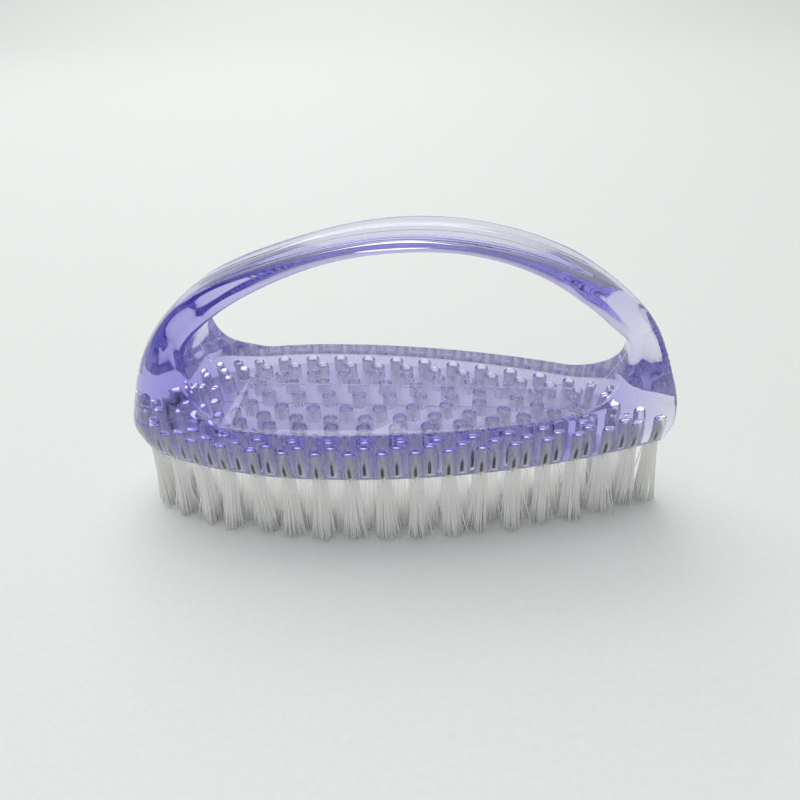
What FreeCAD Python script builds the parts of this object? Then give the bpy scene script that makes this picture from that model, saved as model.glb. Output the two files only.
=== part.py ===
import FreeCAD, Part
import math
import os
import Sketcher

# Nail brush: one moulded body with a loop handle, tufts folded into blind holes, and their anchors.
# Millimetres, +Z up, +X along the brush towards its narrow end. The origin lies on the surface
# that the bristle tips stand on, under the middle of the brush.

doc = FreeCAD.newDocument("nail_brush")

# ---------------------------------------------------------------- driving dimensions
SIZES = {
    "bristle_length": 14.9,      # underside of the base to the bristle tips
    "base_thickness": 10.9,      # underside of the base to its floor
    "handle_rise": 32.2,         # floor to the top of the handle
    "base_half_width": 18.3,     # at the widest station
    "widest_station": -13.8,     # X of the widest station
    "right_side_radius": 147.0,
    "right_nose_radius": 2.8,
    "left_side_radius": 79.8,
    "left_nose_radius": 12.2,
    "rim_height": 6.4,           # lower part of the wall, which draws in towards the underside
    "rim_slope": 14.0,           # degrees from upright
    "handle_half_width": 6.2,    # at the top of the handle
    "flank_height": 37.0,        # top of the end-view cut, above the handle
    "flare_half_width": 19.0,
    "hole_diameter": 2.8,
    "hole_depth": 6.1,
    "tuft_diameter": 2.6,
    "tuft_tip_diameter": 2.9,
    "tuft_top_gap": 1.5,         # hole end to the top of the fold
    "anchor_thickness": 0.5,
    "anchor_width": 2.66,
    "anchor_height": 2.0,
    "anchor_top_gap": 3.7,       # hole end to the top of the anchor
    "anchor_clearance": 0.05,
}

sheet = doc.addObject("Spreadsheet::Sheet", "Sizes")
for row, (name, value) in enumerate(SIZES.items(), start=1):
    sheet.set(f"A{row}", name)
    sheet.set(f"B{row}", str(value))
    sheet.setAlias(f"B{row}", name)
doc.recompute()


def size(name):
    return sheet.get(name)


UNDERSIDE = size("bristle_length")
FLOOR = UNDERSIDE + size("base_thickness")
TOP = FLOOR + size("handle_rise")

# Side view, X and height above the floor: the outside of the handle and the finger opening.
HANDLE_OUTSIDE = [
    (-54.0, -6.0), (-52.2, 0.0), (-47.8, 9.8), (-39.2, 19.2), (-22.8, 26.9), (-4.8, 31.5),
    (7.2, 32.2), (21.2, 30.1), (33.5, 25.4), (45.8, 16.4), (52.4, 4.8), (54.0, -5.0),
]
OPENING_ARCH = [
    (-38.0, 10.3), (-34.4, 15.4), (-22.6, 22.4), (-9.8, 27.0), (3.2, 28.75), (12.2, 28.5),
    (23.1, 25.85), (33.8, 19.75), (41.3, 12.6), (43.2, 9.8),
]

# End view, half width and height above the floor: the flank of the legs.
LEG_FLANK = [(15.6, 1.4), (13.2, 4.0), (11.5, 8.0), (9.5, 12.5), (7.8, 17.0), (6.8, 22.0), (6.3, 28.0)]

# Rings of tufts: distance in from the outline, first hole and pitch along the ring from its
# right-hand end, and the number of holes on each side. One more hole lies at each end.
RINGS = {
    "outer": (3.3, 4.95, 6.1, 17),
    "second": (6.35, 7.55, 6.0, 15),
    "third": (9.5, 7.75, 6.6, 11),
    "inner": (13.0, 7.45, 6.44, 8),
}
CENTRE_ROW_START = 10.9
CENTRE_ROW_PITCH = 6.1
CENTRE_ROW_COUNT = 8


# Workshop sizes: past the body on every side, and the tangents at the feet of the arch.
CUT_LENGTH = 200.0
PAST_UNDERSIDE = 1
OUTER_X, OUTER_Y = 70.0, 40.0
ARCH_START = FreeCAD.Vector(2, 20, 0)
ARCH_END = FreeCAD.Vector(2, -20, 0)

# The fold narrows at its top.
FOLD_SHOULDER = 0.5
FOLD_TOP_SHARE = 0.55


# ---------------------------------------------------------------- outline of the base
def outline_centres():
    """Centres of the four arcs of the upper half of the outline, from right to left."""
    station = size("widest_station")
    half = size("base_half_width")
    right, right_nose = size("right_side_radius"), size("right_nose_radius")
    left, left_nose = size("left_side_radius"), size("left_nose_radius")
    right_reach = math.sqrt((right - right_nose) ** 2 - (right - half) ** 2)
    left_reach = math.sqrt((left - left_nose) ** 2 - (left - half) ** 2)
    return (
        (station + right_reach, 0.0), (station, half - right),
        (station, half - left), (station - left_reach, 0.0),
    )


def polar(centre, radius, angle):
    return FreeCAD.Vector(centre[0] + radius * math.cos(angle), centre[1] + radius * math.sin(angle), 0)


def half_outline(inset):
    """Arcs (centre, radius, start, end) of the upper half of the outline, moved in by inset."""
    right_nose, right, left, left_nose = outline_centres()
    reach = size("base_half_width") - size("right_side_radius")
    turn_right = math.atan2(right_nose[1] - right[1], right_nose[0] - right[0])
    turn_left = math.atan2(left_nose[1] - left[1], left_nose[0] - left[0])
    radii = [size(name) - inset for name in (
        "right_nose_radius", "right_side_radius", "left_side_radius", "left_nose_radius")]
    arcs = []
    if radii[0] > 0:
        arcs.append((right_nose, radii[0], 0.0, turn_right))
    else:
        turn_right = math.asin(-reach / radii[1])
    arcs.append((right, radii[1], turn_right, math.pi / 2))
    if radii[3] > 0:
        arcs.append((left, radii[2], math.pi / 2, turn_left))
        arcs.append((left_nose, radii[3], turn_left, math.pi))
    else:
        arcs.append((left, radii[2], math.pi / 2, math.pi - math.asin(-left[1] / radii[2])))
    return arcs


def point_along(arcs, distance):
    for centre, radius, start, end in arcs:
        length = radius * (end - start)
        if distance <= length:
            return polar(centre, radius, start + distance / radius)
        distance -= length
    return polar(centre, radius, end)


def tuft_rows():
    """Hole positions by row: each ring has a rear row, a front row and its two ends."""
    rows = {}
    for name, (inset, first, pitch, count) in RINGS.items():
        arcs = half_outline(inset)
        rear = [point_along(arcs, first + pitch * step) for step in range(count)]
        ends = (point_along(arcs, 0.0), point_along(arcs, float("inf")))
        rows[f"{name}_rear"] = rear
        rows[f"{name}_front"] = [FreeCAD.Vector(spot.x, -spot.y, 0) for spot in rear]
        rows[f"{name}_ends"] = [FreeCAD.Vector(spot.x, 0, 0) for spot in ends]
    rows["centre"] = [
        FreeCAD.Vector(CENTRE_ROW_START - CENTRE_ROW_PITCH * step, 0, 0)
        for step in range(CENTRE_ROW_COUNT)
    ]
    return rows


ROWS = tuft_rows()


# ---------------------------------------------------------------- helpers
def plane_of(body, role):
    return next(item for item in body.Origin.OriginFeatures if item.Role == role)


def sketch_on(body, name, role, height=0.0):
    sketch = body.newObject("Sketcher::SketchObject", name)
    sketch.AttachmentSupport = [(plane_of(body, role), "")]
    sketch.MapMode = "FlatFace"
    if height:
        sketch.AttachmentOffset = FreeCAD.Placement(FreeCAD.Vector(0, 0, height), FreeCAD.Rotation())
    return sketch


def spline_through(points, first_tangent=None, last_tangent=None):
    curve = Part.BSplineCurve()
    vectors = [FreeCAD.Vector(x, y, 0) for x, y in points]
    if first_tangent:
        curve.interpolate(vectors, InitialTangent=first_tangent, FinalTangent=last_tangent)
    else:
        curve.interpolate(vectors)
    return curve


def add_box(sketch, x0, y0, x1, y1):
    corners = [FreeCAD.Vector(x, y, 0) for x, y in ((x0, y0), (x1, y0), (x1, y1), (x0, y1))]
    for start, end in zip(corners, corners[1:] + corners[:1]):
        sketch.addGeometry(Part.LineSegment(start, end), False)


def add_outside_of_base(sketch):
    """The region between the egg-shaped outline of the base and a box well outside it."""
    for centre, radius, start, end in half_outline(0.0):
        for low, high in ((start, end), (-end, -start)):
            mirrored = centre if low >= 0 and high > 0 else (centre[0], -centre[1])
            circle = Part.Circle(FreeCAD.Vector(*mirrored, 0), FreeCAD.Vector(0, 0, 1), radius)
            sketch.addGeometry(Part.ArcOfCircle(circle, low, high), False)
    add_box(sketch, -OUTER_X, -OUTER_Y, OUTER_X, OUTER_Y)


# ---------------------------------------------------------------- moulded body
def make_handle_body():
    body = doc.addObject("PartDesign::Body", "handle_body")
    body.Label = "handle_body"

    # Side view: the base and the outside of the handle in one closed outline.
    side = sketch_on(body, "side_view", "XZ_Plane")
    outside = [(x, FLOOR + z) for x, z in HANDLE_OUTSIDE]
    left_end, right_end = outside[0], outside[-1]
    side.addGeometry(spline_through(outside), False)
    path = [right_end, (right_end[0], UNDERSIDE), (left_end[0], UNDERSIDE), left_end]
    for start, end in zip(path, path[1:]):
        side.addGeometry(
            Part.LineSegment(FreeCAD.Vector(*start, 0), FreeCAD.Vector(*end, 0)), False)
    pad = body.newObject("PartDesign::Pad", "side_pad")
    pad.Profile = side
    pad.Midplane = True
    pad.setExpression("Length", "2 * Sizes.flare_half_width")
    doc.recompute()

    # Plan view: everything outside the egg-shaped outline is cut away.
    plan = sketch_on(body, "plan_view", "XY_Plane")
    add_outside_of_base(plan)
    trim = body.newObject("PartDesign::Pocket", "plan_trim")
    trim.Profile = plan
    trim.Midplane = True
    trim.Length = CUT_LENGTH
    doc.recompute()

    # End view: the legs narrow from the width of the base to that of the handle.
    end = sketch_on(body, "end_view", "YZ_Plane")
    flank = [(size("flare_half_width"), 0.0)] + LEG_FLANK + [
        (size("handle_half_width"), size("flank_height"))]
    for sign in (1, -1):
        curve = spline_through([(sign * y, FLOOR + z) for y, z in flank])
        end.addGeometry(curve, False)
        corners = [
            FreeCAD.Vector(sign * y, z, 0) for y, z in (
                (size("handle_half_width"), FLOOR + size("flank_height")),
                (OUTER_Y, FLOOR + size("flank_height")),
                (OUTER_Y, FLOOR),
                (size("flare_half_width"), FLOOR),
            )
        ]
        for start, stop in zip(corners, corners[1:]):
            end.addGeometry(Part.LineSegment(start, stop), False)
    taper = body.newObject("PartDesign::Pocket", "end_taper")
    taper.Profile = end
    taper.Midplane = True
    taper.Length = CUT_LENGTH
    doc.recompute()

    # The finger opening, with a large round at each end of the floor.
    hollow = sketch_on(body, "opening_view", "XZ_Plane")
    arch = [(x, FLOOR + z) for x, z in OPENING_ARCH]
    hollow.addGeometry(spline_through(arch, ARCH_START, ARCH_END), False)
    left_round = arch[0][1] - FLOOR
    right_round = arch[-1][1] - FLOOR
    left_centre = FreeCAD.Vector(arch[0][0] + left_round, FLOOR + left_round, 0)
    right_centre = FreeCAD.Vector(arch[-1][0] - right_round, FLOOR + right_round, 0)
    axis = FreeCAD.Vector(0, 0, 1)
    hollow.addGeometry(Part.ArcOfCircle(
        Part.Circle(left_centre, axis, left_round), math.pi, 1.5 * math.pi), False)
    hollow.addGeometry(Part.LineSegment(
        FreeCAD.Vector(left_centre.x, FLOOR, 0), FreeCAD.Vector(right_centre.x, FLOOR, 0)), False)
    hollow.addGeometry(Part.ArcOfCircle(
        Part.Circle(right_centre, axis, right_round), 1.5 * math.pi, 2 * math.pi), False)
    opening = body.newObject("PartDesign::Pocket", "opening")
    opening.Profile = hollow
    opening.Midplane = True
    opening.Length = CUT_LENGTH
    doc.recompute()

    # The lower part of the wall leans in towards the underside.
    rim = sketch_on(body, "rim_view", "XY_Plane", UNDERSIDE + size("rim_height"))
    add_outside_of_base(rim)
    lean = body.newObject("PartDesign::Pocket", "rim_lean")
    lean.Profile = rim
    lean.setExpression("Length", f"Sizes.rim_height + {PAST_UNDERSIDE}")
    lean.setExpression("TaperAngle", "-Sizes.rim_slope")
    doc.recompute()

    # Blind holes for the tufts, from the underside.
    spots = sketch_on(body, "tuft_spots", "XY_Plane", UNDERSIDE)
    for row in ROWS.values():
        for spot in row:
            circle = Part.Circle(spot, axis, size("hole_diameter") / 2)
            spots.addGeometry(circle, False)
    holes = body.newObject("PartDesign::Pocket", "tuft_holes")
    holes.Profile = spots
    holes.Reversed = True
    holes.setExpression("Length", "Sizes.hole_depth")
    doc.recompute()
    body.Tip = holes
    return body


# ---------------------------------------------------------------- one tuft and one anchor
def make_tuft_pattern():
    """A folded bundle of filaments: straight in its hole, then flared to the tips."""
    body = doc.addObject("PartDesign::Body", "tuft_pattern")
    section = sketch_on(body, "tuft_section", "XZ_Plane")
    fold = UNDERSIDE + size("hole_depth") - size("tuft_top_gap")
    radius = size("tuft_diameter") / 2
    corners = [
        (0, 0), (size("tuft_tip_diameter") / 2, 0), (radius, UNDERSIDE), (radius, fold - FOLD_SHOULDER),
        (radius * FOLD_TOP_SHARE, fold), (0, fold),
    ]
    vectors = [FreeCAD.Vector(x, z, 0) for x, z in corners]
    for start, end in zip(vectors, vectors[1:] + vectors[:1]):
        section.addGeometry(Part.LineSegment(start, end), False)
    turned = body.newObject("PartDesign::Revolution", "tuft_turned")
    turned.Profile = section
    turned.ReferenceAxis = (section, ["V_Axis"])
    turned.Angle = 360
    doc.recompute()
    slot = sketch_on(body, "anchor_slot_view", "XZ_Plane")
    half = size("anchor_thickness") / 2 + size("anchor_clearance")
    top = UNDERSIDE + size("hole_depth") - size("anchor_top_gap")
    low = top - size("anchor_height")
    add_box(slot, -half, low - size("anchor_clearance"), half, top + size("anchor_clearance"))
    cut = body.newObject("PartDesign::Pocket", "anchor_slot")
    cut.Profile = slot
    cut.Midplane = True
    cut.Length = CUT_LENGTH
    doc.recompute()
    body.Tip = cut
    return body


def make_anchor_pattern():
    """The flat metal clip that holds one fold in its hole."""
    clip = doc.addObject("Part::Box", "anchor_pattern")
    clip.setExpression("Length", "Sizes.anchor_thickness")
    clip.setExpression("Width", "Sizes.anchor_width")
    clip.setExpression("Height", "Sizes.anchor_height")
    clip.setExpression("Placement.Base.x", "-Sizes.anchor_thickness / 2")
    clip.setExpression("Placement.Base.y", "-Sizes.anchor_width / 2")
    clip.setExpression(
        "Placement.Base.z",
        "Sizes.bristle_length + Sizes.hole_depth - Sizes.anchor_top_gap - Sizes.anchor_height")
    doc.recompute()
    return clip


def repeat(pattern, label, spots):
    """One node that holds a separate solid at every spot of a row."""
    group = doc.addObject("Part::Feature", label)
    group.Label = label
    group.Shape = Part.makeCompound([pattern.Shape.translated(spot) for spot in spots])
    group.Placement = FreeCAD.Placement()
    return group


# ---------------------------------------------------------------- build and export
pieces = [make_handle_body()]
tuft_pattern = make_tuft_pattern()
anchor_pattern = make_anchor_pattern()
for row_name, row_spots in ROWS.items():
    pieces.append(repeat(tuft_pattern, f"{row_name}_tufts", row_spots))
    pieces.append(repeat(anchor_pattern, f"{row_name}_anchors", row_spots))
doc.recompute()

for item in doc.Objects:
    if "Invalid" in item.State or "Error" in item.State:
        raise RuntimeError(f"{item.Name}: {item.State}")
os.makedirs("parts", exist_ok=True)
for piece in pieces:
    if piece.Shape.isNull() or not piece.Shape.isValid():
        raise RuntimeError(f"{piece.Label} is not a valid shape")
    piece.Shape.exportStep(f"parts/{piece.Label}.step")
    box = piece.Shape.BoundBox
    print(piece.Label, len(piece.Shape.Solids), round(piece.Shape.Volume, 1),
          [round(v, 2) for v in (box.XMin, box.XMax, box.YMin, box.YMax, box.ZMin, box.ZMax)])
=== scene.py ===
import math

import bmesh
import bpy
import numpy as np
from mathutils import Matrix, Vector, geometry


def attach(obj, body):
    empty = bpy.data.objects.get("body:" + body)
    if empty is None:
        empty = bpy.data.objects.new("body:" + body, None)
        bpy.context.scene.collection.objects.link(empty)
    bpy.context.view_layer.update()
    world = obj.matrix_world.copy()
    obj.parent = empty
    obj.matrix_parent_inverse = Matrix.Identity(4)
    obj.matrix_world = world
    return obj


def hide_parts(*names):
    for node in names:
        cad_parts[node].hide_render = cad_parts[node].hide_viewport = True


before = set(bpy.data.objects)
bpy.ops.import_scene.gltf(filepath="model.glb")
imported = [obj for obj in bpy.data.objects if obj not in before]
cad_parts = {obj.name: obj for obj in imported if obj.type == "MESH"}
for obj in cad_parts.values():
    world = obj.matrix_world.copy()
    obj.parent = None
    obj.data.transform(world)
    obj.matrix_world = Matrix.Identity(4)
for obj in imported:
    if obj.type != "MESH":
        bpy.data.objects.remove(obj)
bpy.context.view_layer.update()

MM = 0.001
random = np.random.default_rng(20)

# ---------------------------------------------------------------- sizes, in millimetres
UNDERSIDE = 14.9     # bottom of the base block
FLOOR = 25.8         # top of the base block, inside the opening
END_X = 54.0
BASE_HALF_WIDTH = 18.3
WIDEST_X = -13.8
RIGHT_SIDE_RADIUS, RIGHT_NOSE_RADIUS = 147.0, 2.8
LEFT_SIDE_RADIUS, LEFT_NOSE_RADIUS = 79.8, 12.2

# Side view: x and height above the floor.
HANDLE_OUTSIDE = [
    (-54.0, -6.0), (-52.2, 0.0), (-47.8, 9.8), (-39.2, 19.2), (-22.8, 26.9), (-4.8, 31.5),
    (7.2, 32.2), (21.2, 30.1), (33.5, 25.4), (45.8, 16.4), (52.4, 4.8), (54.0, -5.0),
]
OPENING_ARCH = [
    (-38.0, 10.3), (-34.4, 15.4), (-22.6, 22.4), (-9.8, 27.0), (3.2, 28.75), (12.2, 28.5),
    (23.1, 25.85), (33.8, 19.75), (41.3, 12.6), (43.2, 9.8),
]
# End view: half width and height above the floor.
LEG_FLANK = [
    (19.0, 0.0), (15.6, 1.4), (13.2, 4.0), (11.5, 8.0), (9.5, 12.5), (7.8, 17.0), (6.8, 22.0),
    (6.3, 28.0), (6.2, 37.0),
]

HOLE_RADIUS = 1.4
HOLE_DEPTH = 6.1
HOLE_SIDES = 32
HOLE_ROUND = 0.75    # radius of the edge at the closed end

# Rings of tufts: inset, first hole, pitch and holes per side.
RINGS = {
    "outer": (3.3, 4.95, 6.1, 17),
    "second": (6.35, 7.55, 6.0, 15),
    "third": (9.5, 7.75, 6.6, 11),
    "inner": (13.0, 7.45, 6.44, 8),
}
CENTRE_ROW_START, CENTRE_ROW_PITCH, CENTRE_ROW_COUNT = 10.9, 6.1, 8

GRID = 0.46                          # spacing of the sampling grid of the moulded body
GRID_MARGIN = (1.2, 1.1, 0.8)        # how far the grid goes past the ends, sides and underside
GRID_TOP = 33.4                      # and how far above the floor
CURVE_STEP = 0.25                    # spacing of the points on the outlines


# ---------------------------------------------------------------- plan outline of the base
def outline_centres():
    right_reach = math.sqrt(
        (RIGHT_SIDE_RADIUS - RIGHT_NOSE_RADIUS) ** 2 - (RIGHT_SIDE_RADIUS - BASE_HALF_WIDTH) ** 2)
    left_reach = math.sqrt(
        (LEFT_SIDE_RADIUS - LEFT_NOSE_RADIUS) ** 2 - (LEFT_SIDE_RADIUS - BASE_HALF_WIDTH) ** 2)
    return (
        (WIDEST_X + right_reach, 0.0), (WIDEST_X, BASE_HALF_WIDTH - RIGHT_SIDE_RADIUS),
        (WIDEST_X, BASE_HALF_WIDTH - LEFT_SIDE_RADIUS), (WIDEST_X - left_reach, 0.0),
    )


RIGHT_NOSE, RIGHT_SIDE, LEFT_SIDE, LEFT_NOSE = outline_centres()
TURN_RIGHT = math.atan2(RIGHT_NOSE[1] - RIGHT_SIDE[1], RIGHT_NOSE[0] - RIGHT_SIDE[0])
TURN_LEFT = math.atan2(LEFT_NOSE[1] - LEFT_SIDE[1], LEFT_NOSE[0] - LEFT_SIDE[0])


def half_outline(inset):
    """Arcs (centre, radius, start, end) of the upper half of the outline, moved in by inset."""
    arcs = []
    turn = TURN_RIGHT
    if RIGHT_NOSE_RADIUS > inset:
        arcs.append((RIGHT_NOSE, RIGHT_NOSE_RADIUS - inset, 0.0, turn))
    else:
        turn = math.asin(-RIGHT_SIDE[1] / (RIGHT_SIDE_RADIUS - inset))
    arcs.append((RIGHT_SIDE, RIGHT_SIDE_RADIUS - inset, turn, math.pi / 2))
    if LEFT_NOSE_RADIUS > inset:
        arcs.append((LEFT_SIDE, LEFT_SIDE_RADIUS - inset, math.pi / 2, TURN_LEFT))
        arcs.append((LEFT_NOSE, LEFT_NOSE_RADIUS - inset, TURN_LEFT, math.pi))
    else:
        turn = math.pi - math.asin(-LEFT_SIDE[1] / (LEFT_SIDE_RADIUS - inset))
        arcs.append((LEFT_SIDE, LEFT_SIDE_RADIUS - inset, math.pi / 2, turn))
    return arcs


def point_along(arcs, distance):
    for centre, radius, start, end in arcs:
        length = radius * (end - start)
        angle = min(start + distance / radius, end)
        point = (centre[0] + radius * math.cos(angle), centre[1] + radius * math.sin(angle))
        if distance <= length:
            break
        distance -= length
    return point


def tuft_rows():
    rows = {}
    for name, (inset, first, pitch, count) in RINGS.items():
        arcs = half_outline(inset)
        rear = [point_along(arcs, first + pitch * step) for step in range(count)]
        rows[f"{name}_rear"] = rear
        rows[f"{name}_front"] = [(x, -y) for x, y in rear]
        rows[f"{name}_ends"] = [
            (point_along(arcs, distance)[0], 0.0) for distance in (0.0, float("inf"))]
    rows["centre"] = [
        (CENTRE_ROW_START - CENTRE_ROW_PITCH * step, 0.0) for step in range(CENTRE_ROW_COUNT)]
    return rows


ROWS = tuft_rows()
SPOTS = [spot for row in ROWS.values() for spot in row]


def plan_distance(x, y):
    """Signed distance to the egg-shaped outline, negative inside it."""
    y = np.abs(y)
    right = x >= WIDEST_X
    side_x = np.where(right, RIGHT_SIDE[0], LEFT_SIDE[0])
    side_y = np.where(right, RIGHT_SIDE[1], LEFT_SIDE[1])
    side_radius = np.where(right, RIGHT_SIDE_RADIUS, LEFT_SIDE_RADIUS)
    angle = np.arctan2(y - side_y, x - side_x)
    on_side = (angle >= TURN_RIGHT) & (angle <= TURN_LEFT)
    nose_x = np.where(right, RIGHT_NOSE[0], LEFT_NOSE[0])
    nose_radius = np.where(right, RIGHT_NOSE_RADIUS, LEFT_NOSE_RADIUS)
    side = np.hypot(x - side_x, y - side_y) - side_radius
    nose = np.hypot(x - nose_x, y) - nose_radius
    return np.where(on_side, side, nose)


# ---------------------------------------------------------------- smooth outlines
def spline(points, first=None, last=None):
    """Points every CURVE_STEP along the cubic spline through the given ones."""
    points = np.array(points, float)
    gap = np.linalg.norm(np.diff(points, axis=0), axis=1)
    slope = np.diff(points, axis=0) / gap[:, None]
    count = len(points)
    matrix = np.eye(count)
    target = np.zeros((count, 2))
    for i in range(1, count - 1):
        matrix[i, i - 1:i + 2] = gap[i], 2 * (gap[i - 1] + gap[i]), gap[i - 1]
        target[i] = 3 * (gap[i] * slope[i - 1] + gap[i - 1] * slope[i])
    if first is None:
        matrix[0, :2] = 2, 1
        target[0] = 3 * slope[0]
        matrix[-1, -2:] = 1, 2
        target[-1] = 3 * slope[-1]
    else:
        target[0] = first
        target[-1] = last
    tangent = np.linalg.solve(matrix, target)
    line = []
    for i in range(count - 1):
        t = np.linspace(0, 1, max(2, math.ceil(gap[i] / CURVE_STEP)), endpoint=False)[:, None]
        line.append(
            (2 * t ** 3 - 3 * t ** 2 + 1) * points[i] + (3 * t ** 2 - 2 * t ** 3) * points[i + 1]
            + gap[i] * (
                (t ** 3 - 2 * t ** 2 + t) * tangent[i] + (t ** 3 - t ** 2) * tangent[i + 1]))
    return np.vstack(line + [points[-1:]])


def straight(start, end):
    start, end = np.array(start, float), np.array(end, float)
    count = max(2, math.ceil(np.linalg.norm(end - start) / CURVE_STEP))
    return start + np.linspace(0, 1, count + 1)[:, None] * (end - start)


def arc(centre, radius, start, end):
    count = max(2, math.ceil(abs(end - start) * radius / CURVE_STEP))
    angle = np.linspace(start, end, count + 1)
    return np.stack([centre[0] + radius * np.cos(angle), centre[1] + radius * np.sin(angle)], 1)


QUERY_BLOCK = 20000      # points looked up in one go
SHARPEST_TURN = 0.2      # keeps the curved distance finite near a centre of curvature


class Outline:
    """Signed distance to a smooth line, positive on its right-hand side."""

    def __init__(self, *parts):
        points = np.vstack(parts)
        # Where two parts meet, the point that both have is kept once.
        keep = np.append(True, np.linalg.norm(np.diff(points, axis=0), axis=1) > 0.01 * CURVE_STEP)
        self.points = points[keep]
        tangent = np.gradient(self.points, axis=0)
        length = np.linalg.norm(tangent, axis=1)
        self.tangent = tangent / length[:, None]
        heading = np.unwrap(np.arctan2(self.tangent[:, 1], self.tangent[:, 0]))
        self.curvature = np.gradient(heading) / length

    def nearest(self, u, v):
        query = np.stack([np.ravel(u), np.ravel(v)], 1)
        found = np.empty(len(query), int)
        square = (self.points ** 2).sum(1)
        for start in range(0, len(query), QUERY_BLOCK):
            some = query[start:start + QUERY_BLOCK]
            found[start:start + QUERY_BLOCK] = (square - 2 * some @ self.points.T).argmin(1)
        return found.reshape(np.shape(u))

    def distance(self, u, v, near):
        du, dv = u - self.points[near, 0], v - self.points[near, 1]
        tu, tv = self.tangent[near, 0], self.tangent[near, 1]
        along = du * tu + dv * tv
        off = du * tv - dv * tu
        bend = self.curvature[near]
        return off + bend * along ** 2 / (2 * np.maximum(1 + bend * off, SHARPEST_TURN))


def outside_outline():
    outside = [(x, FLOOR + z) for x, z in HANDLE_OUTSIDE]
    left, right = outside[0], outside[-1]
    well_below = -30.0
    return Outline(
        straight((right[0], well_below), right),
        spline(outside)[::-1],
        straight(left, (left[0], well_below)),
    )


def opening_outline():
    """The arch, closed by the floor and a round corner as high as each end of the arch."""
    arch = [(x, FLOOR + z) for x, z in OPENING_ARCH]
    left, right = arch[0][1] - FLOOR, arch[-1][1] - FLOOR
    steep_up, steep_down = (0.1, 1.0), (0.1, -1.0)
    left_centre = (arch[0][0] + left, FLOOR + left)
    right_centre = (arch[-1][0] - right, FLOOR + right)
    return Outline(
        arc(left_centre, left, math.pi, 1.5 * math.pi),
        straight((left_centre[0], FLOOR), (right_centre[0], FLOOR)),
        arc(right_centre, right, 1.5 * math.pi, 2 * math.pi),
        spline(arch, steep_up, steep_down)[::-1],
    )


def flank_outline():
    line = [(half, FLOOR + z) for half, z in LEG_FLANK]
    run_out, run_down = 9.0, 6.0
    start = (line[0][0] + run_out, line[0][1] - run_down)
    return Outline(straight(start, line[0])[:-1], spline(line))


OUTSIDE = outside_outline()
OPENING = opening_outline()
FLANK = flank_outline()


# ---------------------------------------------------------------- moulded body as one distance
END_CROWN_RADIUS = 12.0      # both ends are round across their width
CROWN_FADE = 0.93            # share of that which is gone at the top of the handle
CROWN_HEIGHTS = (-2, 27)     # and the heights above the floor over which it goes
WALL_TURN = 6.2              # height over which the wall of the base curves in
WALL_INSET = 1.78            # how far in it ends, at the underside
WALL_POWER = 1.8             # 1 would be a straight taper
LEG_LEAN = 0.33              # above the floor the outline draws in again, at this slope
LEG_START = -2.6             # at both ends it starts this much lower
LEG_ENDS = (36, 47)          # distances from the middle between which that comes in
LEG_ROUND = 0.4              # rounds the start
LEG_REACH = 3.4              # the most that it draws in

# Radius of the edges: at the floor, what is added, and the heights over which it is added.
END_EDGE = (0.5, 1.5, 0, 6)
OPENING_EDGE = (0.9, 1.3, 0.5, 8)
# The edge of the legs' flanks widens just above the floor and narrows again up the handle.
FLANK_WIDENS = (2.4, 0, 5)
FLANK_NARROWS = (1.3, 5, 25)
FLANK_EDGE = 0.1

SETTLING_ROUNDS = 4          # moves of the net's vertices on to the surface
LARGEST_MOVE = 0.3
LEAST_SLOPE = 0.2
SLOPE_REACH = 0.01           # half the distance over which a slope is measured


def ramp(value, low, high):
    t = np.clip((value - low) / (high - low), 0, 1)
    return t * t * (3 - 2 * t)


def edge_radius(height, least, added, low, high):
    return least + added * ramp(height, low, high)


def cut(first, second, radius):
    """What both shapes share, with the edge between them rounded."""
    a, b = np.maximum(first + radius, 0), np.maximum(second + radius, 0)
    return np.minimum(np.maximum(first, second), -radius) + np.hypot(a, b)


def join_shapes(x, y, z, plan, outside, flank, opening):
    """The outline of the base, the side view and the leg's flank, less the opening."""
    height = z - FLOOR
    turn = np.clip((UNDERSIDE + WALL_TURN - z) / WALL_TURN, 0, 1)
    plan = plan + WALL_INSET * turn ** WALL_POWER
    start = LEG_START * ramp(np.abs(x), *LEG_ENDS)
    drawn_in = LEG_LEAN * (np.hypot(np.maximum(height - start, 0), LEG_ROUND) - LEG_ROUND)
    plan = plan + LEG_REACH * np.tanh(drawn_in / LEG_REACH)
    crown = 1 - CROWN_FADE * ramp(height, *CROWN_HEIGHTS)
    ends = outside + crown * y ** 2 / (2 * END_CROWN_RADIUS)
    shape = cut(plan, ends, edge_radius(height, *END_EDGE))
    widens, *widens_over = FLANK_WIDENS
    narrows, *narrows_over = FLANK_NARROWS
    flank_edge = widens * ramp(height, *widens_over) - narrows * ramp(height, *narrows_over)
    shape = cut(shape, flank, flank_edge + FLANK_EDGE)
    return cut(shape, -opening, edge_radius(height, *OPENING_EDGE))


def body_values(points, near):
    x, y, z = points.T
    return join_shapes(
        x, y, z, plan_distance(x, y), OUTSIDE.distance(x, z, near[0]),
        FLANK.distance(np.abs(y), z, near[1]), OPENING.distance(x, z, near[2]))


def nearest_samples(points):
    x, y, z = points.T
    return OUTSIDE.nearest(x, z), FLANK.nearest(np.abs(y), z), OPENING.nearest(x, z)


def body_gradient(points, near):
    gradient = np.empty_like(points)
    for axis in range(3):
        move = np.zeros(3)
        move[axis] = SLOPE_REACH
        rise = body_values(points + move, near) - body_values(points - move, near)
        gradient[:, axis] = rise / (2 * SLOPE_REACH)
    return gradient


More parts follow.
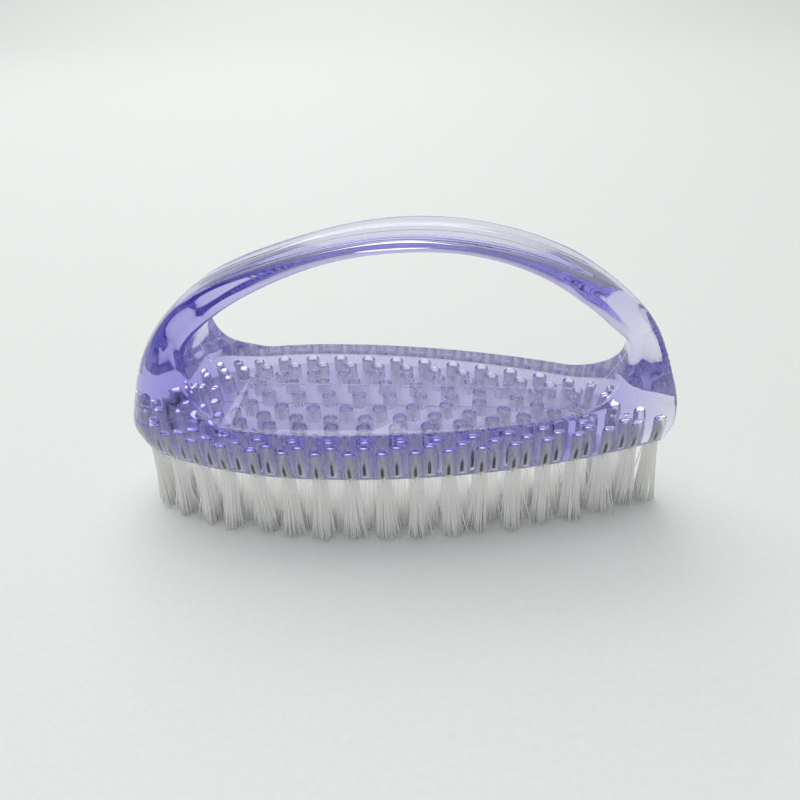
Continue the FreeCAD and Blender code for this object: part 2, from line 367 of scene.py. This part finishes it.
def sample_grid():
    past_ends, past_sides, past_underside = GRID_MARGIN
    low = np.array([-END_X - past_ends, -BASE_HALF_WIDTH - past_sides, UNDERSIDE - past_underside])
    high = np.array([END_X + past_ends, BASE_HALF_WIDTH + past_sides, FLOOR + GRID_TOP])
    step = GRID
    x, y, z = (np.arange(low[axis], high[axis], step) for axis in range(3))
    xs, zs = np.meshgrid(x, z, indexing="ij")
    ys, flank_z = np.meshgrid(np.abs(y), z, indexing="ij")
    values = join_shapes(
        x[:, None, None], y[None, :, None], z[None, None, :],
        plan_distance(x[:, None], y[None, :])[:, :, None],
        OUTSIDE.distance(xs, zs, OUTSIDE.nearest(xs, zs))[:, None, :],
        FLANK.distance(ys, flank_z, FLANK.nearest(ys, flank_z))[None, :, :],
        OPENING.distance(xs, zs, OPENING.nearest(xs, zs))[:, None, :])
    return values, low, step


def surface_net(values, low, step):
    """Vertices and quads of the zero surface of a sampled distance."""
    inside = values < 0
    cells = tuple(size - 1 for size in values.shape)

    def corner(array, i, j, k):
        return array[i:i + cells[0], j:j + cells[1], k:k + cells[2]]

    corners = [(i, j, k) for i in (0, 1) for j in (0, 1) for k in (0, 1)]
    count = sum(corner(inside, *c).astype(np.int8) for c in corners)
    active = (count > 0) & (count < 8)
    where = np.argwhere(active)
    index = np.full(cells, -1)
    index[active] = np.arange(len(where))
    total = np.zeros((len(where), 3))
    hits = np.zeros(len(where))
    for axis in range(3):
        for start in (c for c in corners if c[axis] == 0):
            end = tuple(v + (n == axis) for n, v in enumerate(start))
            a, b = corner(values, *start)[active], corner(values, *end)[active]
            crossing = (a < 0) != (b < 0)
            share = np.where(crossing, a / np.where(crossing, a - b, 1), 0)
            offset = np.tile(np.array(start, float), (len(where), 1))
            offset[:, axis] += share
            total += offset * crossing[:, None]
            hits += crossing
    vertices = low + step * (where + total / hits[:, None])

    quads = []
    for axis in range(3):
        one, two = (axis + 1) % 3, (axis + 2) % 3
        a = np.moveaxis(inside, (axis, one, two), (0, 1, 2))
        cell = np.moveaxis(index, (axis, one, two), (0, 1, 2))
        first, second = a[:-1, 1:-1, 1:-1], a[1:, 1:-1, 1:-1]
        for crossing, order in ((first & ~second, 1), (~first & second, -1)):
            i, j, k = np.nonzero(crossing)
            ring = np.stack([
                cell[i, j, k], cell[i, j + 1, k], cell[i, j + 1, k + 1], cell[i, j, k + 1]], 1)
            quads.append(ring[:, ::order])
    return vertices, np.vstack(quads)


def body_surface():
    values, low, step = sample_grid()
    points, quads = surface_net(values, low, step)
    for _ in range(SETTLING_ROUNDS):
        near = nearest_samples(points)
        gradient = body_gradient(points, near)
        size = (gradient ** 2).sum(1)
        move = body_values(points, near) / np.maximum(size, LEAST_SLOPE)
        points = points - np.clip(move, -LARGEST_MOVE, LARGEST_MOVE)[:, None] * gradient
    near = nearest_samples(points)
    normals = body_gradient(points, near)
    normals /= np.linalg.norm(normals, axis=1)[:, None]
    return points, quads, normals


def cut_off(points, quads, normals):
    """Cuts the surface off at the underside. Also returns the edges along the cut."""
    above = points[:, 2] > UNDERSIDE
    keep = above[quads].sum(1)
    faces = quads[keep == 4].tolist()
    extra, extra_normals, cuts, rim_edges = [], [], {}, []
    for quad in quads[(keep > 0) & (keep < 4)].tolist():
        polygon, crossed = [], []
        for a, b in zip(quad, quad[1:] + quad[:1]):
            if above[a]:
                polygon.append(a)
            if above[a] != above[b]:
                key = (min(a, b), max(a, b))
                if key not in cuts:
                    cuts[key] = len(points) + len(extra)
                    one, two = key
                    share = (UNDERSIDE - points[one, 2]) / (points[two, 2] - points[one, 2])
                    extra.append(points[one] + share * (points[two] - points[one]))
                    extra_normals.append(normals[one] + share * (normals[two] - normals[one]))
                polygon.append(cuts[key])
                crossed.append(cuts[key])
        faces.append(polygon)
        rim_edges.append(tuple(crossed))
    points = np.vstack([points, extra])
    normals = np.vstack([normals, extra_normals])
    used = np.unique(np.concatenate([np.array(face) for face in faces]))
    place = np.full(len(points), -1)
    place[used] = np.arange(len(used))
    faces = [tuple(place[face].tolist()) for face in faces]
    rim_edges = [tuple(place[list(edge)].tolist()) for edge in rim_edges]
    return points[used], faces, normals[used], rim_edges


HOLE_TOP = UNDERSIDE + HOLE_DEPTH
HOLE_ANGLES = 2 * math.pi * np.arange(HOLE_SIDES) / HOLE_SIDES
CIRCLE = np.stack([np.cos(HOLE_ANGLES), np.sin(HOLE_ANGLES)], 1)
DOWN = np.array([0, 0, -1.0])


def hole_rings():
    """Radius, height and downward tilt of the normal at each ring of a hole, mouth first."""
    rings = [(HOLE_RADIUS, UNDERSIDE, 0.0), (HOLE_RADIUS, HOLE_TOP - HOLE_ROUND, 0.0)]
    for angle in np.radians((22.5, 45, 67.5, 90)):
        rings.append((
            HOLE_RADIUS - HOLE_ROUND * (1 - math.cos(angle)),
            HOLE_TOP - HOLE_ROUND * (1 - math.sin(angle)), math.sin(angle)))
    return rings


HOLE_RINGS = hole_rings()
PER_HOLE = len(HOLE_RINGS) * HOLE_SIDES + 1      # vertices: the rings, then the middle of the end


def hole_vertices(spot):
    x, y = spot
    rings = [
        np.column_stack([
            x + radius * CIRCLE[:, 0], y + radius * CIRCLE[:, 1], np.full(HOLE_SIDES, z)])
        for radius, z, _ in HOLE_RINGS]
    return rings + [np.array([[x, y, HOLE_TOP]])]


def hole_faces(base):
    """Faces and corner normals of the hole whose vertices start at base."""
    faces, corner_normals = [], []
    for level in range(len(HOLE_RINGS) - 1):
        low = base + level * HOLE_SIDES
        high = low + HOLE_SIDES
        for side in range(HOLE_SIDES):
            after = (side + 1) % HOLE_SIDES
            faces.append((low + side, high + side, high + after, low + after))
            corners = (side, level), (side, level + 1), (after, level + 1), (after, level)
            for at, ring in corners:
                tilt = HOLE_RINGS[ring][2]
                across = math.sqrt(1 - tilt ** 2)
                corner_normals.append(np.array([
                    -across * CIRCLE[at, 0], -across * CIRCLE[at, 1], -tilt]))
    last = base + (len(HOLE_RINGS) - 1) * HOLE_SIDES
    middle = base + PER_HOLE - 1
    for side in range(HOLE_SIDES):
        faces.append((last + side, middle, last + (side + 1) % HOLE_SIDES))
        corner_normals += [DOWN] * 3
    return faces, corner_normals


def underside_faces(points, rim_edges):
    """Triangles of the underside, between its rim and the mouths of the holes."""
    rim = sorted({vertex for edge in rim_edges for vertex in edge})
    rim_place = {vertex: place for place, vertex in enumerate(rim)}
    flat_points = [tuple(points[vertex, :2]) for vertex in rim]
    flat_edges = [(rim_place[a], rim_place[b]) for a, b in rim_edges]
    for x, y in SPOTS:
        start = len(flat_points)
        flat_points += [tuple(p) for p in np.array([x, y]) + HOLE_RADIUS * CIRCLE]
        flat_edges += [(start + n, start + (n + 1) % HOLE_SIDES) for n in range(HOLE_SIDES)]
    made = geometry.delaunay_2d_cdt([Vector(p) for p in flat_points], flat_edges, [], 1, 1e-6)
    made_points = np.array([tuple(p) for p in made[0]])
    triangles = np.array([list(face) for face in made[2]])
    origin = [source[0] for source in made[3]]

    # The mouths are filled as well, with triangles whose middles lie inside the circle. They go.
    middle = made_points[triangles].mean(1)
    gap = np.sqrt(((middle[:, None, :] - np.array(SPOTS)[None]) ** 2).sum(2)).min(1)
    triangles = triangles[gap > HOLE_RADIUS]

    def welded(place):
        source = origin[place]
        if source < len(rim):
            return rim[source]
        hole, side = divmod(source - len(rim), HOLE_SIDES)
        return len(points) + hole * PER_HOLE + side

    faces = []
    for a, b, c in triangles:
        corner = made_points[[a, b, c]]
        area = np.cross(corner[1] - corner[0], corner[2] - corner[0])
        faces.append(tuple(welded(v) for v in ((a, c, b) if area > 0 else (a, b, c))))
    return faces


def build_body():
    """The outer surface, the underside, and then every hole. The holes' vertices come last."""
    points, faces, normals, rim_edges = cut_off(*body_surface())
    loop_normals = [normals[vertex] for face in faces for vertex in face]
    underside = underside_faces(points, rim_edges)
    faces += underside
    loop_normals += [DOWN] * 3 * len(underside)
    vertices = [points]
    hole_starts = [len(points) + hole * PER_HOLE for hole in range(len(SPOTS))]
    for spot, base in zip(SPOTS, hole_starts):
        vertices += hole_vertices(spot)
        new_faces, new_normals = hole_faces(base)
        faces += new_faces
        loop_normals += new_normals
    piece = make_object("handle_body_moulding", np.vstack(vertices), faces, loop_normals)
    # The sides of the holes, from the mouth to where the end rounds off, are marked for the
    # material.
    side_wall = np.zeros(len(piece.data.vertices), np.float32)
    for base in hole_starts:
        side_wall[base:base + 2 * HOLE_SIDES] = 1
    layer = piece.data.attributes.new("hole_side", "FLOAT", "POINT")
    layer.data.foreach_set("value", side_wall)
    return piece


def make_object(name, vertices, faces, loop_normals=None):
    mesh = bpy.data.meshes.new(name)
    mesh.from_pydata((np.asarray(vertices) * MM).tolist(), [], [tuple(map(int, f)) for f in faces])
    mesh.shade_smooth()
    if loop_normals is not None:
        mesh.normals_split_custom_set(np.asarray(loop_normals).tolist())
    made = bpy.data.objects.new(name, mesh)
    bpy.context.scene.collection.objects.link(made)
    return made


# ---------------------------------------------------------------- tufts
FILAMENT_RADIUS = 0.12
FILAMENT_SIDES = 5
ANCHOR_TOP = UNDERSIDE + 2.4
ANCHOR_BOTTOM = UNDERSIDE + 0.4
FOLD_TOP = UNDERSIDE + 4.6
FOLD_GAP = 0.1               # the lowest fold clears the anchor by this
FOLD_DROP = 0.35             # how much lower the outermost filaments fold, as a share
FOLD_PINCH = 0.12            # and how much the fold narrows

# In the hole, the filaments lie in layers on both sides of the anchor.
FOLD_INSIDE = 0.4            # distance of the first layer from the middle
LAYER_COUNT = 4
LAYER_STEP = 0.26
FILAMENT_STEP = 0.255
HOLE_CLEARANCE = 0.14        # from the side of the hole to the middle of a filament

# Below the underside, they close under the anchor and then fan out.
CLOSED_GAP, CLOSED_SPACING = 0.08, 1.4
FAN_SHARES = (0.0, 0.25, 0.5, 0.75, 0.9)     # of the way up from the tips
FAN_POWER = 1.4
FAN_CENTRE = 0.25
SPREAD = (1.2, 2.7)          # how many times wider each side of a tuft is at its tips
SPREAD_ALONG = (1.1, 1.6)
TIP_HEIGHT = (1.4, 0.16)     # gamma draw: most filaments end near the floor, a few higher up

# Spread of the normal draws that keep the filaments from being regular.
LAYER_NOISE, ROW_NOISE = 0.012, 0.02
TIP_NOISE, TIP_NOISE_ALONG = 0.3, 0.25
TUFT_LEAN, LEAN_ALONG = 0.45, 0.6
STRAY_SHARE, STRAY_REACH = 0.16, 1.3
BOW = 0.08


def filament_places():
    """Where the filaments pass one side of the anchor: distance from it, and place along it."""
    places = []
    for layer in range(LAYER_COUNT):
        out = FOLD_INSIDE + LAYER_STEP * layer
        half = math.sqrt(max((HOLE_RADIUS - HOLE_CLEARANCE) ** 2 - out ** 2, 0))
        count = int(2 * half / FILAMENT_STEP) + 1
        places += [(out, y) for y in np.linspace(-half, half, count)]
    return np.array(places)


PLACES = filament_places()


def tuft_side(side, out, along, spread, lean):
    """Centre lines of one side of a tuft, from its tips up to the top of the anchor."""
    count = len(out)
    stray = (random.random(count) < STRAY_SHARE) * random.normal(0, STRAY_REACH, count)
    tip_x = (
        side * (out - FAN_CENTRE) * spread + lean[0] + random.normal(0, TIP_NOISE, count) + stray)
    tip_y = (
        along * random.uniform(*SPREAD_ALONG) + lean[1] * LEAN_ALONG
        + random.normal(0, TIP_NOISE_ALONG, count))
    tip_z = random.gamma(*TIP_HEIGHT, count) + FILAMENT_RADIUS * 0.3
    bow = random.normal(0, BOW, count)
    closed = side * (CLOSED_GAP + CLOSED_SPACING * (out - FOLD_INSIDE))
    stations = []
    for share in FAN_SHARES:
        height = tip_z + share * (UNDERSIDE - tip_z)
        fan = (1 - share) ** FAN_POWER
        wave = bow * math.sin(math.pi * share)
        stations.append(np.stack([
            closed + fan * (tip_x - closed) + wave,
            along + fan * (tip_y - along) + 0.5 * wave, height], 1))
    above_middle = (ANCHOR_BOTTOM + ANCHOR_TOP) / 2 + 0.2
    for height in (UNDERSIDE, above_middle, ANCHOR_TOP - FOLD_GAP):
        stations.append(np.stack([side * out, along, np.full(count, height)], 1))
    return stations


def tuft_fold(out, along):
    """Centre lines over the anchor, from its left side to its right."""
    fold = ANCHOR_TOP + FOLD_GAP + (FOLD_TOP - ANCHOR_TOP - FOLD_GAP) * (out / out.max()) ** 0.5
    fold -= FOLD_DROP * (along / HOLE_RADIUS) ** 2 * (FOLD_TOP - ANCHOR_TOP)
    stations = []
    for angle in np.radians((150, 115, 90, 65, 30)):
        stations.append(np.stack([
            out * math.cos(angle), along * (1 - FOLD_PINCH * math.sin(angle)),
            ANCHOR_TOP - FOLD_GAP + (fold - ANCHOR_TOP + FOLD_GAP) * math.sin(angle)], 1))
    return stations


def tuft_paths(spot):
    """Centre lines of one tuft's filaments, from tip to fold to tip."""
    count = len(PLACES)
    out = PLACES[:, 0] + random.normal(0, LAYER_NOISE, count)
    along = PLACES[:, 1] + random.normal(0, ROW_NOISE, count)
    spread = random.uniform(*SPREAD), random.uniform(*SPREAD)
    lean = random.normal(0, TUFT_LEAN, 2)
    left = tuft_side(-1, out, along, spread[0], lean)
    right = tuft_side(1, out, along, spread[1], lean)
    line = np.stack(left + tuft_fold(out, along) + right[::-1], 1)
    return line + np.array([spot[0], spot[1], 0.0])


def tubes(paths, radius, sides):
    """One mesh of closed tubes round centre lines that never run along Y."""
    tangent = np.gradient(paths, axis=1)
    tangent /= np.linalg.norm(tangent, axis=2)[:, :, None]
    across = np.cross(tangent, np.array([0, 1.0, 0]))
    across /= np.linalg.norm(across, axis=2)[:, :, None]
    beside = np.cross(tangent, across)
    angle = 2 * math.pi * np.arange(sides) / sides
    ring = (
        np.cos(angle)[None, None, :, None] * across[:, :, None]
        + np.sin(angle)[None, None, :, None] * beside[:, :, None])
    points = paths[:, :, None] + radius * ring
    count, length = paths.shape[:2]
    number = np.arange(count * length * sides).reshape(count, length, sides)
    after = np.roll(number, -1, axis=2)
    quads = np.stack(
        [number[:, :-1], after[:, :-1], after[:, 1:], number[:, 1:]], -1).reshape(-1, 4)
    caps = np.vstack([number[:, 0, ::-1], number[:, -1]])
    return points.reshape(-1, 3), quads.tolist() + caps.tolist()


def build_tufts(row):
    tufts = [tuft_paths(spot) for spot in ROWS[row]]
    paths = np.concatenate(tufts)
    vertices, faces = tubes(paths, FILAMENT_RADIUS, FILAMENT_SIDES)
    piece = make_object(f"{row}_filaments", vertices, faces)
    # For the material, each filament carries its own shade and how far inside the base it is, which
    # sets its painted glow.
    inset = [np.full(len(tuft), -plan_distance(*np.array(spot)))
             for tuft, spot in zip(tufts, ROWS[row])]
    for name, numbers in (("shade", random.random(len(paths))), ("inset", np.concatenate(inset))):
        layer = piece.data.attributes.new(name, "FLOAT", "POINT")
        values = np.repeat(numbers, paths.shape[1] * FILAMENT_SIDES)
        layer.data.foreach_set("value", values.astype(np.float32))
    return piece


# ---------------------------------------------------------------- anchors
ANCHOR_THICKNESS = 0.5
ANCHOR_WIDTH = 2.66
ANCHOR_EDGE = 0.09
ANCHOR_TURN = 0.03       # spread of the angles, in radians, at which they sit


def anchor_shape():
    """A short cut of flat wire with rounded edges."""
    shape = bmesh.new()
    bmesh.ops.create_cube(shape, size=1.0)
    for vertex in shape.verts:
        vertex.co = Vector((
            vertex.co.x * ANCHOR_THICKNESS, vertex.co.y * ANCHOR_WIDTH,
            vertex.co.z * (ANCHOR_TOP - ANCHOR_BOTTOM)))
    bmesh.ops.bevel(
        shape, geom=shape.edges[:], offset=ANCHOR_EDGE, segments=3, profile=0.5,
        affect="EDGES")
    points = np.array([vertex.co[:] for vertex in shape.verts])
    faces = [[vertex.index for vertex in face.verts] for face in shape.faces]
    shape.free()
    return points, faces


def build_anchors(row):
    points, faces = anchor_shape()
    all_points, all_faces = [], []
    for x, y in ROWS[row]:
        turn = random.normal(0, ANCHOR_TURN)
        spot = points @ np.array([
            [math.cos(turn), math.sin(turn), 0], [-math.sin(turn), math.cos(turn), 0], [0, 0, 1]])
        spot = spot + np.array([x, y, (ANCHOR_TOP + ANCHOR_BOTTOM) / 2])
        offset = len(all_points) * len(points)
        all_points.append(spot)
        all_faces += [[offset + v for v in face] for face in faces]
    return make_object(f"{row}_wire_anchors", np.vstack(all_points), all_faces)


# ---------------------------------------------------------------- materials
class Nodes:
    """A small helper that makes and joins the nodes of one material."""

    def __init__(self, name):
        self.material = bpy.data.materials.new(name)
        self.material.use_nodes = True
        self.tree = self.material.node_tree
        self.shader = self.tree.nodes["Principled BSDF"]
        self.output = self.tree.nodes["Material Output"]

    def add(self, kind, **settings):
        node = self.tree.nodes.new(kind)
        for name, value in settings.items():
            setattr(node, name, value)
        return node

    def join(self, start, end):
        self.tree.links.new(start, end)

    def put(self, name, value):
        self.shader.inputs[name].default_value = value

    def noise(self, coordinates, scale, detail=3.0, roughness=0.5):
        node = self.add("ShaderNodeTexNoise")
        node.inputs["Scale"].default_value = scale
        node.inputs["Detail"].default_value = detail
        node.inputs["Roughness"].default_value = roughness
        self.join(coordinates, node.inputs["Vector"])
        return node.outputs["Fac"]

    def attribute(self, name):
        return self.add("ShaderNodeAttribute", attribute_name=name).outputs["Fac"]

    def stretched(self, scale):
        coordinates = self.add("ShaderNodeTexCoord").outputs["Object"]
        mapping = self.add("ShaderNodeMapping")
        mapping.inputs["Scale"].default_value = scale
        self.join(coordinates, mapping.inputs["Vector"])
        return mapping.outputs["Vector"]

    def axis(self, name):
        axes = self.add("ShaderNodeSeparateXYZ")
        self.join(self.add("ShaderNodeTexCoord").outputs["Object"], axes.inputs["Vector"])
        return axes.outputs[name]

    def maths(self, operation, *values):
        node = self.add("ShaderNodeMath", operation=operation)
        for value, socket in zip(values, node.inputs):
            self.join(value, socket)
        return node.outputs["Value"]

    def ramp(self, value, low, high, first, last):
        node = self.add("ShaderNodeMapRange")
        names = "From Min", "From Max", "To Min", "To Max"
        for name, number in zip(names, (low, high, first, last)):
            node.inputs[name].default_value = number
        self.join(value, node.inputs["Value"])
        return node.outputs["Result"]

    def colours(self, value, *stops):
        node = self.add("ShaderNodeValToRGB")
        ramp_ends = node.color_ramp.elements
        for element, (place, colour) in zip(ramp_ends, stops):
            element.position = place
            element.color = (*colour, 1)
        self.join(value, node.inputs["Fac"])
        return node.outputs["Color"]

    def bump(self, height, distance, strength=1.0, under=None):
        node = self.add("ShaderNodeBump")
        node.inputs["Strength"].default_value = strength
        node.inputs["Distance"].default_value = distance
        self.join(height, node.inputs["Height"])
        if under is not None:
            self.join(under, node.inputs["Normal"])
        return node.outputs["Normal"]


FINE_BUMP = 0.01 * MM
POLISHED, SCRATCHED = 0.012, 0.09        # roughnesses
HOLE_SIDE_DULL, UNDERSIDE_DULL = 0.45, 0.55
SEAM_HALF_WIDTH, SEAM_HEIGHT = 0.22 * MM, 0.12 * MM
VIOLET, VIOLET_DENSITY = (0.15, 0.08, 0.87, 1), 44.0


def violet_plastic():
    made = Nodes("violet_clear_plastic")
    made.put("Base Color", (1, 1, 1, 1))
    made.put("Transmission Weight", 1.0)
    made.put("IOR", 1.49)
    # Faint flow ripples of the moulding, and fine scratches from handling.
    ripple = made.noise(made.stretched((35, 60, 60)), 1.0, 2.0)
    scratch = made.noise(made.stretched((60, 2600, 2600)), 1.0, 2.0)
    # The sides of the holes are dull where the pins of the mould drew out, and so is the underside.
    drawn = made.ramp(made.attribute("hole_side"), 0.3, 1.0, 0.0, HOLE_SIDE_DULL)
    just_above, clear_above = (UNDERSIDE + 0.05) * MM, (UNDERSIDE + 0.1) * MM
    base = made.ramp(made.axis("Z"), just_above, clear_above, UNDERSIDE_DULL, 0.0)
    dull = made.maths("MAXIMUM", drawn, base)
    polished = made.ramp(scratch, 0.55, 0.8, POLISHED, SCRATCHED)
    made.join(made.maths("MAXIMUM", polished, dull), made.shader.inputs["Roughness"])
    # The two halves of the mould leave a fine line along the middle.
    seam = made.ramp(made.maths("ABSOLUTE", made.axis("Y")), 0.0, SEAM_HALF_WIDTH, 1.0, 0.0)
    rippled = made.bump(ripple, FINE_BUMP)
    made.join(made.bump(seam, SEAM_HEIGHT, under=rippled), made.shader.inputs["Normal"])
    absorb = made.add("ShaderNodeVolumeAbsorption")
    absorb.inputs["Color"].default_value = VIOLET
    absorb.inputs["Density"].default_value = VIOLET_DENSITY
    made.join(absorb.outputs["Volume"], made.output.inputs["Volume"])
    return made.material


# Painted glow of the tufts, an emission that is no lamp: its strength by the distance from the edge
# of the base, as a share at the tips and below the underside, and as a share from the underside up
# to the anchor.
PAINTED_GLOW_INSETS, PAINTED_GLOW_LEVELS = (4.0, 9.0), (0.035, 0.15)
PAINTED_GLOW_HEIGHTS, PAINTED_GLOW_HEIGHT_SHARES = (3.0 * MM, 12.0 * MM), (0.2, 1.0)
PAINTED_GLOW_FOLD_HEIGHTS, PAINTED_GLOW_FOLD_SHARES = (15.5 * MM, 18.5 * MM), (1.0, 0.4)


def white_nylon():
    made = Nodes("white_nylon")
    shade = made.attribute("shade")
    colour = made.colours(shade, (0.0, (0.96, 0.96, 0.95)), (1.0, (0.99, 0.99, 0.985)))
    made.join(colour, made.shader.inputs["Base Color"])
    made.put("IOR", 1.5)
    # Painted glow: the filaments emit light, most of all under the open floor, in place of the
    # light that the clear block would let into its tufts and the filaments would lead down.
    made.put("Emission Color", (1.0, 1.0, 0.97, 1.0))
    glow_by_inset = made.ramp(made.attribute("inset"), *PAINTED_GLOW_INSETS, *PAINTED_GLOW_LEVELS)
    glow_by_height = made.ramp(made.axis("Z"), *PAINTED_GLOW_HEIGHTS, *PAINTED_GLOW_HEIGHT_SHARES)
    glow_at_fold = made.ramp(made.axis("Z"), *PAINTED_GLOW_FOLD_HEIGHTS, *PAINTED_GLOW_FOLD_SHARES)
    painted_glow = made.maths("MULTIPLY", glow_by_inset, glow_by_height)
    painted_glow = made.maths("MULTIPLY", painted_glow, glow_at_fold)
    made.join(painted_glow, made.shader.inputs["Emission Strength"])
    grain = made.noise(made.stretched((9000, 9000, 500)), 1.0, 2.0)
    made.join(made.ramp(grain, 0.3, 0.7, 0.4, 0.6), made.shader.inputs["Roughness"])
    made.join(made.bump(grain, FINE_BUMP), made.shader.inputs["Normal"])
    return made.material


def anchor_metal():
    made = Nodes("anchor_wire")
    made.put("Metallic", 1.0)
    grain = made.noise(made.stretched((3000, 3000, 22000)), 1.0, 3.0)
    colour = made.colours(grain, (0.3, (0.03, 0.028, 0.03)), (0.7, (0.10, 0.095, 0.09)))
    made.join(colour, made.shader.inputs["Base Color"])
    made.join(made.ramp(grain, 0.3, 0.7, 0.3, 0.5), made.shader.inputs["Roughness"])
    made.join(made.bump(grain, FINE_BUMP), made.shader.inputs["Normal"])
    return made.material


def dress(piece, material, slot, *nodes):
    piece.data.materials.append(material)
    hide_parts(*nodes)
    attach(piece, "root")


dress(build_body(), violet_plastic(), "violet_plastic", "handle_body")
nylon = white_nylon()
metal = anchor_metal()
for row_name in ROWS:
    dress(build_tufts(row_name), nylon, "white_nylon", f"{row_name}_tufts")
    dress(build_anchors(row_name), metal, "anchor_metal", f"{row_name}_anchors")


# ---------------------------------------------------------------- stage, light and camera
# In metres.
SHEET_FRONT, SHEET_FLAT_END, SHEET_TOP = -1.6, 0.9, 0.95
SHEET_BEND, SHEET_BEND_STEPS = 0.5, 12
SHEET_HALF_WIDTH = 2.0
CAMERA_PLACE = (0.01498, -0.1246, 0.09839)
CAMERA_PITCH, CAMERA_YAW, CAMERA_ROLL = math.radians(31.18), math.radians(-6.53), math.radians(-2.4)


def build_stage():
    """A floor that runs back and curves up into a backdrop, all in one sheet."""
    profile = [(SHEET_FRONT, 0.0), (SHEET_FLAT_END, 0.0)]
    for step in range(1, SHEET_BEND_STEPS + 1):
        angle = math.pi / 2 * step / SHEET_BEND_STEPS
        profile.append((
            SHEET_FLAT_END + SHEET_BEND * math.sin(angle),
            SHEET_BEND - SHEET_BEND * math.cos(angle)))
    profile.append((SHEET_FLAT_END + SHEET_BEND, SHEET_TOP))
    vertices, faces = [], []
    for y, z in profile:
        for x in (-SHEET_HALF_WIDTH, SHEET_HALF_WIDTH):
            vertices.append((x / MM, y / MM, z / MM))
    for step in range(len(profile) - 1):
        low = 2 * step
        faces.append((low, low + 1, low + 3, low + 2))
    sheet = make_object("backdrop", vertices, faces)
    made = Nodes("backdrop_paper")
    grain = made.noise(made.stretched((900, 900, 900)), 1.0, 3.0)
    colour = made.colours(grain, (0.3, (0.80, 0.815, 0.80)), (0.7, (0.83, 0.845, 0.83)))
    made.join(colour, made.shader.inputs["Base Color"])
    made.put("Roughness", 0.6)
    sheet.data.materials.append(made.material)


def add_light(name, place, target, size, power):
    data = bpy.data.lights.new(name, "AREA")
    data.shape = "RECTANGLE"
    data.size, data.size_y = size
    data.energy = power
    light = bpy.data.objects.new(name, data)
    light.location = place
    light.rotation_mode = "QUATERNION"
    light.rotation_quaternion = (Vector(target) - Vector(place)).to_track_quat("-Z", "Y")
    bpy.context.scene.collection.objects.link(light)


def build_camera():
    pitch, yaw, roll = CAMERA_PITCH, CAMERA_YAW, CAMERA_ROLL
    forward = Vector((
        math.sin(yaw) * math.cos(pitch), math.cos(yaw) * math.cos(pitch), -math.sin(pitch)))
    right = forward.cross(Vector((0, 0, 1))).normalized()
    up = right.cross(forward)
    rolled_right = math.cos(roll) * right + math.sin(roll) * up
    rolled_up = -math.sin(roll) * right + math.cos(roll) * up
    data = bpy.data.cameras.new("camera")
    data.sensor_width = 36.0
    data.lens = 33.3
    data.clip_start = 0.005
    data.clip_end = 20.0
    camera = bpy.data.objects.new("camera", data)
    camera.matrix_world = Matrix.Translation(CAMERA_PLACE) @ Matrix((
        rolled_right, rolled_up, -forward)).transposed().to_4x4()
    bpy.context.scene.collection.objects.link(camera)
    bpy.context.scene.camera = camera


build_stage()
add_light("overhead", (-0.3, 0.45, 1.3), (0, 0.1, 0), (1.6, 1.6), 18.0)
add_light("front", (0.1, -1.3, 0.3), (0, 0, 0.02), (2.4, 0.8), 1.5)
build_camera()

scene = bpy.context.scene
world = bpy.data.worlds.new("room")
world.use_nodes = True
background = world.node_tree.nodes["Background"]
background.inputs["Color"].default_value = (0.80, 0.82, 0.80, 1)
background.inputs["Strength"].default_value = 0.4
scene.world = world
scene.view_settings.view_transform = "Standard"
scene.cycles.max_bounces = 40
scene.cycles.transmission_bounces = 36
scene.cycles.glossy_bounces = 12
scene.cycles.diffuse_bounces = 20
